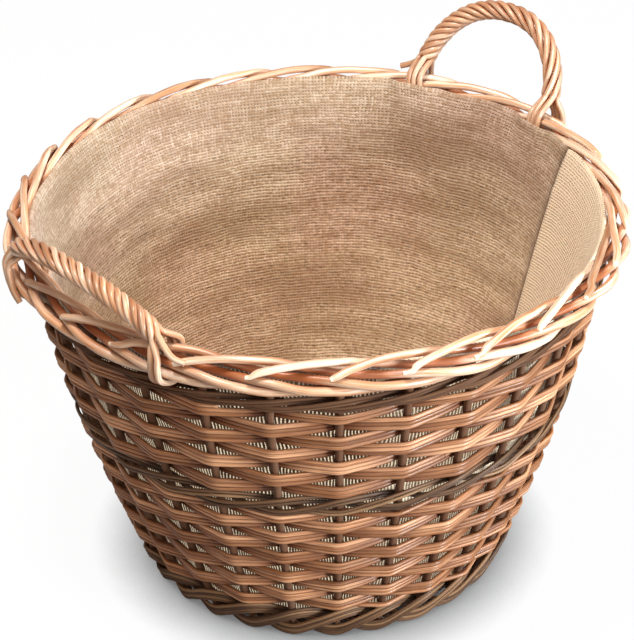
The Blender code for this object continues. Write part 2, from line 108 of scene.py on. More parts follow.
class BorderSizes(bpy.types.PropertyGroup):
    """The border that the stakes' ends make."""
    radius: length("Radius", "Radius of the border's middle", 0.265)
    height: length("Height", "Height of the border's middle", 0.343)
    rod: length("Rod", "Thickness of a border rod at its bend", 0.0083)
    end: length("End", "Thickness of a border rod at its cut end", 0.0068)
    pitch: length("Pitch", "Length that the border's path is drawn in", 0.008)


class HandleSizes(bpy.types.PropertyGroup):
    """The twisted handles."""
    bow: length("Bow", "Thickness of the bow inside the twist", 0.0072)
    strand: length("Strand", "Thickness of a strand", 0.0055)
    twist_radius: length("Twist radius", "From the bow's middle to a strand's middle", 0.0066)
    turns: share("Turns", "Turns of the twist over the bow", 3.0)
    slot: length("Slot", "Distance between strands at a foot", 0.0058)
    foot_outset: length("Foot outset", "Feet outside the border's middle", 0.003)
    foot_rise: length("Foot rise", "Feet above the border's middle", 0.0135)
    twist_start: length("Twist start", "From a foot to where the twist begins", 0.016)


class LinerSizes(bpy.types.PropertyGroup):
    """The hessian liner."""
    thread: length("Thread pitch", "Distance between threads", 0.0029)
    thickness: length("Thickness", "Thickness of the cloth", 0.0011)
    wall_gap: length("Wall gap", "From the stakes' middle line to the cloth", 0.0098)
    foot: length("Foot", "Height of the liner's bottom", 0.0171)
    hem_radius: length("Hem radius", "Radius at the top edge", 0.2484)
    hem_spread: length("Hem spread", "How far the hem leans out away from the handles", 0.0055)
    hem_height: length("Hem height", "Height of the top edge at the front", 0.346)
    rear_lift: length("Rear lift", "How much higher the top edge is at the back", 0.0095)
    seam_angle: angle("Seam", "Direction of the seam on the right, at the hem", 23.5)
    seam_slant: angle("Seam slant", "How far the seam runs round on its way down", 4.0)
    narrow_share: share("Narrow panel", "The narrow panel's share of the round", 8 / 28)


class Colours(bpy.types.PropertyGroup):
    """Base colours of the willow and the hessian."""
    peeled_pale: colour("Peeled, pale", "Lightest streaks of the border", (1.0, 0.83, 0.64))
    peeled: colour("Peeled", "Border and handle rods", (0.72, 0.34, 0.155))
    peeled_dark: colour("Peeled, dark", "Their darkest streaks", (0.38, 0.095, 0.022))
    # Painted shade: the stakes inside the weave and the top and bottom wales are darkened towards
    # this colour.
    painted_shade_tone: colour("Stained", "Stakes where the weaving holds damp", (0.10, 0.034, 0.012))
    buff_pale: colour("Buff, pale", "Lightest streaks of the siding", (0.77, 0.39, 0.205))
    buff: colour("Buff", "Siding rods", (0.38, 0.124, 0.034))
    buff_dark: colour("Buff, dark", "Their darkest streaks", (0.125, 0.028, 0.007))
    brown_pale: colour("Brown, pale", "Lightest streaks of the wales", (0.31, 0.150, 0.066))
    brown: colour("Brown", "Wale rods", (0.125, 0.051, 0.020))
    brown_dark: colour("Brown, dark", "Their darkest streaks", (0.035, 0.014, 0.007))
    brown_odd: colour("Brown, odd", "The few lighter wale rods", (0.34, 0.175, 0.080))
    hessian_pale: colour("Hessian, pale", "Lightest threads", (0.80, 0.60, 0.40))
    hessian: colour("Hessian", "Threads", (0.53, 0.345, 0.19))
    hessian_fresh: colour("Hessian, fresh", "The narrow panel", (0.92, 0.72, 0.50))
    hessian_worn: colour("Hessian, worn", "Darker patches", (0.31, 0.175, 0.078))
    hessian_dark: colour("Hessian, dark", "Between the threads", (0.075, 0.032, 0.012))
    # Painted shade and light: the outer face's threads are darkened for the shade behind the
    # wicker, and the lit colour glows between them.
    hessian_shade: colour("Hessian, shaded", "Threads on the outside", (0.10, 0.040, 0.018))
    hessian_light: colour("Hessian, lit", "Light between the threads", (1.0, 0.82, 0.58))


class HamperSettings(bpy.types.PropertyGroup):
    """Everything that a user would change."""
    wall: PointerProperty(type=WallSizes)
    weave: PointerProperty(type=WeaveSizes)
    border: PointerProperty(type=BorderSizes)
    handle: PointerProperty(type=HandleSizes)
    liner: PointerProperty(type=LinerSizes)
    colours: PointerProperty(type=Colours)


def settings():
    return bpy.context.scene.hamper


# Node trees

def arithmetic(operation, swapped=False):
    """An operator of Socket that adds a Math node."""
    def apply(self, other):
        first, second = (other, self) if swapped else (self, other)
        return self.tree.math(operation, first, second)
    return apply


class Socket:
    """An output socket that arithmetic can be written with."""

    def __init__(self, tree, socket):
        self.tree = tree
        self.socket = socket

    __add__ = arithmetic('ADD')
    __radd__ = arithmetic('ADD', True)
    __sub__ = arithmetic('SUBTRACT')
    __rsub__ = arithmetic('SUBTRACT', True)
    __mul__ = arithmetic('MULTIPLY')
    __rmul__ = arithmetic('MULTIPLY', True)
    __truediv__ = arithmetic('DIVIDE')
    __pow__ = arithmetic('POWER')
    __gt__ = arithmetic('GREATER_THAN')
    __lt__ = arithmetic('LESS_THAN')


class Tree:
    """Adds nodes to a shader or geometry tree."""

    def __init__(self, tree):
        self.nodes = tree.nodes
        self.links = tree.links

    def add(self, kind, choices=None, sockets=None, outlet=0):
        """A node of a kind, with its choices set first and then its sockets' values or links."""
        node = self.nodes.new(kind)
        for key, value in (choices or {}).items():
            if key == "stops":
                self.set_stops(node, value)
            else:
                setattr(node, key, value)
        for key, value in (sockets or {}).items():
            target = node.inputs[key]
            if isinstance(value, Socket):
                self.links.new(value.socket, target)
            else:
                target.default_value = value
        return Socket(self, node.outputs[outlet]) if node.outputs else None

    def also(self, socket, outlet):
        """Another output of the node that a socket comes from."""
        return Socket(self, socket.socket.node.outputs[outlet])

    @staticmethod
    def set_stops(node, stops):
        ramp = node.color_ramp
        while len(ramp.elements) < len(stops):
            ramp.elements.new(0.5)
        for element, (place, tone) in zip(ramp.elements, stops):
            element.position = place
            element.color = (tone, tone, tone, 1.0)

    def math(self, operation, *values):
        return self.add("ShaderNodeMath", {"operation": operation}, dict(enumerate(values)))

    def vector(self, operation, *values):
        return self.add("ShaderNodeVectorMath", {"operation": operation}, dict(enumerate(values)))

    def scaled(self, vector, scale):
        return self.add("ShaderNodeVectorMath", {"operation": 'SCALE'},
                        {0: vector, "Scale": scale})

    def parts(self, vector):
        return self.add("ShaderNodeSeparateXYZ", None, {0: vector})

    def joined(self, first, second, third):
        return self.add("ShaderNodeCombineXYZ", None, {"X": first, "Y": second, "Z": third})

    def ramp(self, value, *stops):
        """A tone that goes through the (place, tone) stops."""
        return self.add("ShaderNodeValToRGB", {"stops": stops}, {0: value})

    def mix(self, factor, first, second, kind='MIX'):
        choices = {"data_type": 'RGBA', "blend_type": kind, "clamp_factor": True}
        return self.add("ShaderNodeMix", choices, {0: factor, 6: first, 7: second}, 2)

    def noise(self, vector, scale, detail, roughness):
        return self.add("ShaderNodeTexNoise", None, {
            "Vector": vector, "Scale": scale, "Detail": detail, "Roughness": roughness})

    def stretch(self, vector, scale):
        return self.add("ShaderNodeMapping", None, {"Vector": vector, "Scale": scale})

    def stretched_noise(self, vector, scales, detail, roughness):
        """Noise with a scale of its own along each axis."""
        return self.noise(self.stretch(vector, scales), 1.0, detail, roughness)

    def attribute(self, name, outlet="Fac"):
        return self.add("ShaderNodeAttribute", {"attribute_name": name}, None, outlet)

    def coordinate(self, outlet):
        return self.add("ShaderNodeTexCoord", None, None, outlet)

    def surface(self, kind, sockets):
        """The shader of a kind that ends the tree."""
        shader = self.add(kind, None, sockets)
        self.add("ShaderNodeOutputMaterial", None, {"Surface": shader})


def opaque(tone):
    return (tone[0], tone[1], tone[2], 1.0)


BLACK = (0.0, 0.0, 0.0, 1.0)
WHITE = (1.0, 1.0, 1.0, 1.0)


def new_material(name):
    material = bpy.data.materials.new(name)
    material.use_nodes = True
    material.node_tree.nodes.clear()
    return material, Tree(material.node_tree)


# Willow

class Bark(NamedTuple):
    """A kind of willow: its colours' name, its odd rods' colour and share, its finish, and how
    much painted shade its rods get underneath.
    """
    tone: str
    odd: str
    odd_share: float
    gloss: float
    under_shade_share: float
    coat: float


# Colours' name, odd rods' colour and share, gloss, share of painted shade under the rods, and
# coat.
BARKS = {
    "peeled_rods": Bark("peeled", "peeled_pale", 0.35, 0.26, 0.55, 0.35),
    "buff_rods": Bark("buff", "buff_pale", 0.45, 0.34, 0.95, 0.2),
    "base_rods": Bark("buff", "buff_pale", 0.45, 0.34, 0.1, 0.2),
    "brown_rods": Bark("brown", "brown_odd", 0.8, 0.45, 0.9, 0.08),
}


def willow(kind, name=None, grain=None):
    """Willow skin: grain along the rod, blotches, leaf scars and a satin finish."""
    bark = BARKS[kind]
    tones = settings().colours
    names = (bark.tone + "_pale", bark.tone, bark.tone + "_dark", bark.odd)
    pale, middle, dark, odd = (opaque(getattr(tones, tone)) for tone in names)
    material, tree = new_material(name or kind)
    grain = grain(tree) if grain else tree.attribute("grain", "Vector")
    tone = tree.attribute("tone")
    stain = tree.attribute("stain")
    streaks = tree.stretched_noise(grain, (1.8, 1.8, 12.0), 3.0, 0.6)
    fibres = tree.stretched_noise(grain, (6.0, 6.0, 40.0), 3.0, 0.65)
    blotches = tree.stretched_noise(grain, (0.8, 0.8, 26.0), 2.0, 0.55)
    patches = tree.noise(tree.coordinate("Object"), 11.0, 2.0, 0.5)
    scars = tree.add("ShaderNodeTexVoronoi", {"feature": 'F1'},
                     {"Vector": tree.stretch(grain, (1.0, 1.0, 22.0)), "Scale": 1.0})
    scar = tree.ramp(scars, (0.07, 1.0), (0.2, 0.0))
    light = tree.ramp(streaks * 0.7 + fibres * 0.3, (0.41, 0.0), (0.62, 1.0))
    heavy = tree.ramp(blotches * 0.6 + patches * 0.4, (0.46, 0.0), (0.70, 1.0))
    skin = tree.mix(light, middle, pale)
    skin = tree.mix(tree.ramp(tone, (0.1, 0.55), (0.6, 0.0)), skin, middle)
    skin = tree.mix(heavy * 0.6, skin, dark)
    skin = tree.mix(tree.ramp(tone, (0.80, 0.0), (0.84, 1.0)) * bark.odd_share, skin, odd)
    shade = tree.ramp(tone, (0.0, 0.62), (0.3, 0.86), (0.7, 1.0), (1.0, 1.12))
    skin = tree.mix(1.0, skin, shade, 'MULTIPLY')
    skin = tree.mix(scar * 0.65, skin, dark)
    # Painted shade on the rods' undersides, and a little along their very tops, from which way the
    # surface faces.
    level = tree.also(tree.parts(tree.coordinate("Normal")), "Z") * 0.5 + 0.5
    painted_under_shade = tree.ramp(level, (0.02, 1.0), (0.40, 0.12), (0.5, 0.0), (0.94, 0.0), (1.0, 0.6))
    skin = tree.mix(painted_under_shade * bark.under_shade_share, skin, dark)
    # Painted shade where the rod lies sunk in the weave, under the border's outer rods or in a
    # handle's twist.
    skin = tree.mix(tree.attribute("deep") * 0.92, skin, dark)
    # Painted shade on the stakes within the weave and on the shaded wales; it also makes them
    # rougher and takes off their coat.
    skin = tree.mix(stain * 0.95, skin, opaque(tones.painted_shade_tone))
    skin = tree.mix(tree.attribute("cut"), skin, pale)
    bump = tree.add("ShaderNodeBump", None, {
        "Strength": 0.2, "Distance": 0.0005, "Height": fibres * 0.7 + streaks - scar * 0.8})
    rough = bark.gloss + fibres * 0.18 + heavy * 0.1 + stain * 0.5
    tree.surface("ShaderNodeBsdfPrincipled", {
        "Base Color": skin, "Roughness": rough, "Normal": bump, "Metallic": 0.0,
        "Specular IOR Level": 0.35, "Coat Weight": (1 - stain) * bark.coat,
        "Coat Roughness": 0.22})
    return material


STICK_GRAIN_SCALE = 180.0


def stick_grain(turned):
    """Grain along a straight stick that lies level at an angle, in place of a swept rod's own."""
    def place(tree):
        along = tree.add("ShaderNodeVectorRotate", {"rotation_type": 'Z_AXIS'},
                         {"Vector": tree.coordinate("Object"), "Angle": -turned})
        parts = tree.parts(along)
        return tree.joined(tree.also(parts, "Y") * STICK_GRAIN_SCALE,
                           tree.also(parts, "Z") * STICK_GRAIN_SCALE, parts)
    return place


# Rods

class Rod(NamedTuple):
    """One rod: the points that it passes, its thickness and painted shade at each, and its tone.
    """
    points: list
    thickness: list
    tone: float
    stain: list = None
    closed: bool = False


def tapered(start, end, number):
    return [start + (end - start) * index / max(number - 1, 1) for index in range(number)]


def mark(mesh, name, values):
    """Keeps a value for each point of a mesh, or the three parts of a vector."""
    vector = len(values) > len(mesh.vertices)
    layer = mesh.attributes.new(name, 'FLOAT_VECTOR' if vector else 'FLOAT', 'POINT')
    layer.data.foreach_set("vector" if vector else "value", values)


def placed(name, data):
    """An object in the scene that shows some data."""
    item = bpy.data.objects.new(name, data)
    bpy.context.scene.collection.objects.link(item)
    return item


def rod_lines(name, rods):
    """The rods' middle lines as an edge mesh that carries thickness, tone and painted shade."""
    points = []
    edges = []
    marks = {"thickness": [], "tone": [], "stain": []}
    for rod in rods:
        first = len(points)
        number = len(rod.points)
        points += rod.points
        marks["thickness"] += rod.thickness
        marks["tone"] += [rod.tone] * number
        marks["stain"] += rod.stain or [0.0] * number
        edges += [(index, index + 1) for index in range(first, len(points) - 1)]
        if rod.closed:
            edges.append((len(points) - 1, first))
    mesh = bpy.data.meshes.new(name)
    mesh.from_pydata(points, edges, [])
    for key, values in marks.items():
        mark(mesh, key, values)
    return placed(name, mesh)


ROD_INPUTS = (
    ("Sides", 'NodeSocketInt', 8),
    ("Step", 'NodeSocketFloat', 0.004),
    ("Wander", 'NodeSocketFloat', 0.0003),
    ("Lumps", 'NodeSocketFloat', 0.0002),
    ("Seed", 'NodeSocketFloat', 1.0),
    ("Finish", 'NodeSocketMaterial', None),
)
CUT_FACE_DEPTH = 0.0006


def rod_tree():
    """Sweeps a round, slightly uneven section along every line of a rod mesh."""
    group = bpy.data.node_groups.new("Willow rods", 'GeometryNodeTree')
    group.interface.new_socket("Geometry", in_out='INPUT', socket_type='NodeSocketGeometry')
    for name, kind, value in ROD_INPUTS:
        socket = group.interface.new_socket(name, in_out='INPUT', socket_type=kind)
        if value is not None:
            socket.default_value = value
    group.interface.new_socket("Geometry", in_out='OUTPUT', socket_type='NodeSocketGeometry')
    tree = Tree(group)
    given = tree.add("NodeGroupInput")
    curve = tree.add("GeometryNodeMeshToCurve", None, {"Mesh": given})
    curve = tree.add("GeometryNodeCurveSplineType", {"spline_type": 'CATMULL_ROM'},
                     {"Curve": curve})
    curve = tree.add("GeometryNodeResampleCurve", {"mode": 'LENGTH'},
                     {"Curve": curve, "Length": tree.also(given, "Step")})
    curve = wandering(tree, given, curve)
    parameter = tree.add("GeometryNodeSplineParameter")
    along = tree.also(parameter, "Length")
    total = tree.add("GeometryNodeSplineLength")
    curve = stored(tree, curve, "along", along)
    curve = stored(tree, curve, "cut", (total - along) < CUT_FACE_DEPTH)
    ring = tree.add("GeometryNodeCurvePrimitiveCircle", {"mode": 'RADIUS'},
                    {"Resolution": tree.also(given, "Sides"), "Radius": 1.0})
    ring = stored(tree, ring, "around", parameter)
    swept = tree.add("GeometryNodeCurveToMesh", None, {
        "Curve": curve, "Profile Curve": ring, "Scale": named(tree, "thickness") * 0.5,
        "Fill Caps": True})
    swept = stored(tree, swept, "grain", grain_place(tree), 'FLOAT_VECTOR')
    swept = lumpy(tree, given, swept)
    swept = tree.add("GeometryNodeSetShadeSmooth", None, {"Geometry": swept})
    swept = tree.add("GeometryNodeRealizeInstances", None, {"Geometry": swept})
    swept = tree.add("GeometryNodeSetMaterial", None,
                     {"Geometry": swept, "Material": tree.also(given, "Finish")})
    tree.add("NodeGroupOutput", None, {0: swept})
    return group


def stored(tree, geometry, name, value, kind='FLOAT'):
    return tree.add("GeometryNodeStoreNamedAttribute", {"data_type": kind, "domain": 'POINT'},
                    {"Geometry": geometry, "Name": name, "Value": value})


def named(tree, name, kind='FLOAT'):
    return tree.add("GeometryNodeInputNamedAttribute", {"data_type": kind}, {"Name": name})


def moved(tree, geometry, offset):
    return tree.add("GeometryNodeSetPosition", None, {"Geometry": geometry, "Offset": offset})


def wandering(tree, given, curve):
    """Moves the rods' lines a little, as no rod is quite straight."""
    apart = tree.vector('ADD', tree.add("GeometryNodeInputPosition"),
                        tree.also(given, "Seed") + named(tree, "tone") * 9.0)
    drift = tree.add("ShaderNodeTexNoise", None,
                     {"Vector": apart, "Scale": 22.0, "Detail": 1.0}, "Color")
    centred = tree.vector('SUBTRACT', drift, (0.5, 0.5, 0.5))
    return moved(tree, curve, tree.scaled(centred, tree.also(given, "Wander") * 4.0))


def grain_place(tree):
    """A place on the rod's skin: around it on a circle, and along it in metres."""
    turned = named(tree, "around") * TURN
    return tree.joined(tree.math('COSINE', turned), tree.math('SINE', turned),
                       named(tree, "along") + named(tree, "tone") * 37.0)


def lumpy(tree, given, swept):
    """Swells and flattens the section a little along each rod."""
    stretched = tree.vector('MULTIPLY', named(tree, "grain", 'FLOAT_VECTOR'), (0.55, 0.55, 42.0))
    swell = tree.add("ShaderNodeTexNoise", None,
                     {"Vector": stretched, "Scale": 1.0, "Detail": 2.0})
    size = (swell - 0.5) * tree.also(given, "Lumps") * 3.0
    return moved(tree, swept, tree.scaled(tree.add("GeometryNodeInputNormal"), size))


def socket_identifier(group, name):
    for item in group.interface.items_tree:
        if item.item_type == 'SOCKET' and item.in_out == 'INPUT' and item.name == name:
            return item.identifier
    raise KeyError(name)


def sweep(name, rods, finish, sides=8, step=0.004, wander=0.0003, lumps=0.0002, seed=1.0):
    """Rods made solid by the rod tree, as one plain mesh."""
    group = bpy.data.node_groups.get("Willow rods") or rod_tree()
    lines = rod_lines(name + "_lines", rods)
    modifier = lines.modifiers.new("rods", 'NODES')
    modifier.node_group = group
    for (key, *_), value in zip(ROD_INPUTS, (sides, step, wander, lumps, seed, finish)):
        modifier[socket_identifier(group, key)] = value
    return made_plain(lines, name)


def made_plain(item, name):
    """The evaluated shape of an object as a plain mesh object, in its place."""
    graph = bpy.context.evaluated_depsgraph_get()
    mesh = bpy.data.meshes.new_from_object(item.evaluated_get(graph))
    mesh.name = name
    bpy.data.objects.remove(item, do_unlink=True)
    return placed(name, mesh)


def mark_recess_shade(item, stand_out, deepest, depth):
    """Painted shade in the recesses: marks each point from 0 where it stands out of the work to 1
    where it lies sunk in it.
    """
    parts = ((stand_out(vertex.co) - deepest) / depth for vertex in item.data.vertices)
    mark(item.data, "deep", [1 - min(max(part, 0.0), 1.0) for part in parts])


def settle(item, slot, *nodes):
    """Ties a finished piece to the frame."""
    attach(item, "root")
    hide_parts(*nodes)


def nodes_named(start):
    return sorted(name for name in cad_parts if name.startswith(start))


# Places on the wall

# Where the painted shade in the wall's recesses is full, and how far out it fades.
WALL_DEEPEST = -0.0045
WALL_DEPTH = 0.0085


def polar(radius, turned, height):
    return Vector((radius * math.cos(turned), radius * math.sin(turned), height))


def wall_radius(height):
    wall = settings().wall
    part = height / wall.root_height
    straight = wall.foot_radius + (wall.root_radius - wall.foot_radius) * part
    return straight + 4 * wall.belly * part * (1 - part)


def off_wall(place):
    return math.hypot(place.x, place.y) - wall_radius(place.z)


def spacing():
    return TURN / settings().wall.stakes


def stake_angle(number):
    return settings().wall.front_angle + number * spacing()


# Border

# How many stake spacings on, then outwards and upwards in border pitches
BORDER_PATH = (
    (0.00, -1.60, -2.90),
    (0.10, -1.45, -2.35),
    (0.50, -0.25, -1.72),
    (1.00, 0.95, -1.14),
    (1.50, 1.45, -0.44),
    (1.95, 1.10, 0.05),
    (2.40, 0.22, 0.05),
    (2.90, -0.42, 0.08),
    (3.40, -0.66, 0.78),
    (3.90, -0.58, 1.48),
    (4.40, -0.05, 1.72),
    (4.80, 0.62, 1.42),
)
CUT_END_PATH = ((5.02, 1.10, 1.05), (5.14, 1.34, 0.72), (5.17, 1.38, 0.64))
CUT_END_SIZES = (0.0066, 0.0052, 0.0036)
PATH_STRAY = 0.05
END_STRAY = 0.012
END_STRAY_FROM = 4
STAKE_SEED = 11
STAKE_WALL_POINTS = 12
STAKE_FOOT_HEIGHT = 0.003
BORDER_DEEPEST = 0.005
BORDER_DEPTH = 0.007


def stake_rod(number, chance):
    """A stake from the floor over the border to its cut end."""
    border = settings().border
    wall = settings().wall
    turned = stake_angle(number)
    points = []
    for index in range(STAKE_WALL_POINTS):
        height = max(STAKE_FOOT_HEIGHT, wall.root_height * index / STAKE_WALL_POINTS)
        points.append(polar(wall_radius(height), turned, height))
    thickness = [wall.stake_diameter] * len(points)
    # Painted shade along the stake where it stands in the weave, fading out past its bend into the
    # border.
    stain = [1.0] * len(points)
    last = CUT_END_PATH[0][0]
    for run, out, rise in BORDER_PATH + CUT_END_PATH:
        reach = run * (1 + chance.uniform(-END_STRAY, END_STRAY) * (run > END_STRAY_FROM))
        out += chance.uniform(-PATH_STRAY, PATH_STRAY)
        rise += chance.uniform(-PATH_STRAY, PATH_STRAY)
        points.append(polar(border.radius + out * border.pitch, turned - reach * spacing(),
                            border.height + rise * border.pitch))
        thickness.append(border.rod + (border.end - border.rod) * min(run / last, 1))
        stain.append(max(0.0, 1 - run))
    thickness[-len(CUT_END_SIZES):] = CUT_END_SIZES
    return Rod(points, thickness, chance.random(), stain)


def off_border(place):
    border = settings().border
    aside = math.hypot(place.x, place.y) - border.radius
    return math.hypot(aside, place.z - border.height)


class HAMPER_OT_stakes(bpy.types.Operator):
    """Make the stakes and the border that their ends make"""
    bl_idname = "hamper.stakes"
    bl_label = "Stakes and Border"

    def execute(self, context):
        chance = random.Random(STAKE_SEED)
        rods = [stake_rod(number, chance) for number in range(settings().wall.stakes)]
        item = sweep("stakes_and_border", rods, willow("peeled_rods"), sides=12, step=0.0042,
                     wander=0.0005, lumps=0.0005, seed=3.0)
        mark_recess_shade(item, off_border, BORDER_DEEPEST, BORDER_DEPTH)
        settle(item, "peeled_willow", *nodes_named("side_stake"))
        return {'FINISHED'}


# Siding

SIDING_STEP = 0.25
SIDING_LAP = 0.25
SIDING_CLEARANCE = 0.0003
SIDING_OVERLAP = 0.0011
LEAST_ROD_STAKES = 6
SIDINGS = (("siding_lower", "lower_rows", 9, 21), ("siding_upper", "upper_rows", 3, 22))


def zigzag(run):
    """One at even stakes and minus one at odd ones, straight between them."""
    return 1 - 2 * abs((run + 1) % 2 - 1)


class Siding:
    """Rods side by side that wind up the wall, each spliced from shorter ones."""

    def __init__(self, low, high, rows, lead, seed):
        weave = settings().weave
        self.low = low
        self.high = high
        self.pitch = (high - low) / rows
        self.lead = lead
        self.size = (weave.butt + weave.tip) / 2
        self.reach = (settings().wall.stake_diameter + self.size) / 2 + SIDING_CLEARANCE
        self.chance = random.Random(seed)

    def rods(self):
        weave = settings().weave
        stakes = settings().wall.stakes
        pitch = self.pitch
        rods = []
        for place in range(weave.band_rods):
            lift = (place - (weave.band_rods - 1) / 2) * weave.band_pitch
            first = (0.5 * pitch - lift + self.size / 2) / pitch
            last = (self.high - self.low + 0.5 * pitch - lift - self.size / 2) / pitch
            joint = math.ceil(first * stakes)
            finish = math.floor(last * stakes)
            while joint < finish:
                turns = weave.rod_turns * self.chance.uniform(0.8, 1.15)
                end = joint + round(turns * stakes)
                end += (end + 1) % 2
                if end > finish - LEAST_ROD_STAKES:
                    end = finish
                rods.append(self.rod(joint, end, lift))
                joint = end
        return rods

    def rod(self, start, end, lift):
        weave = settings().weave
        points = []
        for index in range(round((end - start + 2 * SIDING_LAP) / SIDING_STEP) + 1):
            run = start - SIDING_LAP + index * SIDING_STEP
            height = self.low + self.pitch * (run / settings().wall.stakes - 0.5) + lift
            out = self.reach * zigzag(run)
            points.append(polar(wall_radius(height) + out, stake_angle(run - self.lead), height))
        return Rod(points, tapered(weave.butt, weave.tip, len(points)), self.chance.random())


class HAMPER_OT_siding(bpy.types.Operator):
    """Weave the siding below and above the middle wale"""
    bl_idname = "hamper.siding"
    bl_label = "Siding"

    def execute(self, context):
        finish = willow("buff_rods")
        for name, rows, lead, seed in SIDINGS:
            low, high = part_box(name)
            siding = Siding(low.z - SIDING_OVERLAP, high.z + SIDING_OVERLAP,
                            getattr(settings().weave, rows), lead, seed)
            item = sweep(name + "_rods", siding.rods(), finish, step=0.0036, wander=0.00014,
                         lumps=0.00014, seed=seed)
            mark_recess_shade(item, off_wall, WALL_DEEPEST, WALL_DEPTH)
            settle(item, "buff_willow", name)
        return {'FINISHED'}


# Wales

class Wale(NamedTuple):
    """How one wale is woven: its rods side by side, their size, spacing and unevenness, and its
    painted shade.
    """
    start: str
    rods: int
    size: float
    pitch: float
    stray: float
    lift: float
    stain: float
    seed: int


# Painted shade: the top wale is darkened for the border's shadow over it, the bottom wale a little
# for the shade near the floor.
WALES = (
    Wale("bottom_wale", 4, 0.0038, 0.0036, 0.0005, 0.0021, 0.15, 31),
    Wale("middle_wale", 2, 0.0035, 0.0042, 0.0009, 0.0, 0.0, 32),
    Wale("top_wale", 2, 0.0036, 0.0032, 0.0005, 0.0, 0.55, 33),
)
WALE_CLEARANCE = 0.0004
WALE_SWELL_SHARE = 0.2


def wale_rods(wale, chance):
    """The rods of one wale: in front of two stakes and behind the third, rising as they go."""
    names = nodes_named(wale.start)
    low = min(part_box(name)[0].z for name in names)
    high = max(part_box(name)[1].z for name in names)
    stakes = settings().wall.stakes
    band = (wale.rods - 1) * wale.pitch + wale.size
    step = (high - low - band) / 2
    middle = (low + high) / 2 + wale.lift
    reach = (settings().wall.stake_diameter + wale.size) / 2 + WALE_CLEARANCE
    swell = wale.size * WALE_SWELL_SHARE
    stations = (
        ((-reach, 0.0), (0.0, -step)),
        ((reach, -step), (reach + swell, 0.0)),
        ((reach, step), (0.0, step)),
    )
    rods = []
    for number in range(len(names)):
        for place in range(wale.rods):
            lift = (place - (wale.rods - 1) / 2) * wale.pitch
            points = []
            for index in range(stakes):
                for half, (out, rise) in enumerate(stations[(index + number) % len(stations)]):
                    height = middle + rise + lift + chance.uniform(-1, 1) * wale.stray
                    points.append(polar(wall_radius(height) + out,
                                        stake_angle(index + half / 2), height))
            sizes = [wale.size * chance.uniform(0.85, 1.08)] * len(points)
            stain = [wale.stain] * len(points)
            rods.append(Rod(points, sizes, chance.random(), stain, closed=True))
    return rods


class HAMPER_OT_wales(bpy.types.Operator):
    """Weave the bottom, middle and top wales"""
    bl_idname = "hamper.wales"
    bl_label = "Wales"

    def execute(self, context):
        finish = willow("brown_rods")
        for wale in WALES:
            rods = wale_rods(wale, random.Random(wale.seed))
            item = sweep(wale.start + "_rods", rods, finish, seed=wale.seed)
            mark_recess_shade(item, off_wall, WALL_DEEPEST, WALL_DEPTH)
            settle(item, "brown_willow", *nodes_named(wale.start))
        return {'FINISHED'}


# Handles

# Outwards and upwards of the border's middle in border pitches
OUTER_LEG = ((2.31, 1.63), (2.44, 0.50), (2.38, -0.75), (2.00, -1.88))
INNER_LEG = ((-1.15, 2.45), (-1.56, 1.00), (-1.62, -1.00))
TURN_UNDER = (
    (2.31, 1.63),
    (2.44, 0.50),
    (2.30, -0.75),
    (1.85, -1.45),
    (1.10, -2.02),
    (0.05, -2.60),
    (-1.25, -2.87),
    (-2.10, -2.00),
    (-1.62, -0.75),
    (-1.56, 1.00),
    (-1.15, 2.45),
)
# Slots along the foot, then outwards and upwards
TAIL = ((2.0, 2.20, 2.20), (3.9, 2.10, 1.65))
SLANT_TOP = 1.6
SLANT_DEPTH = 4.5
POINTS_PER_TURN = 14
TWIST_SLACK = 0.42
LINE_STEPS = 720
BOW_STEPS = 40
BOW_INSET = 0.017
HANDLE_DEEPEST = 0.0064
HANDLE_DEPTH = 0.0022
HANDLES = {
    "rear_handle": {"left": 67.6, "right": 36.1, "rise": 0.0825, "lean": 33.5,
                    "roundness": 2.16, "slant": 0.0, "seed": 41},
    "front_handle": {"left": -117.9, "right": -161.0, "rise": 0.0416, "lean": 25.0,
                     "roundness": 2.3, "slant": 0.02, "seed": 42},
}


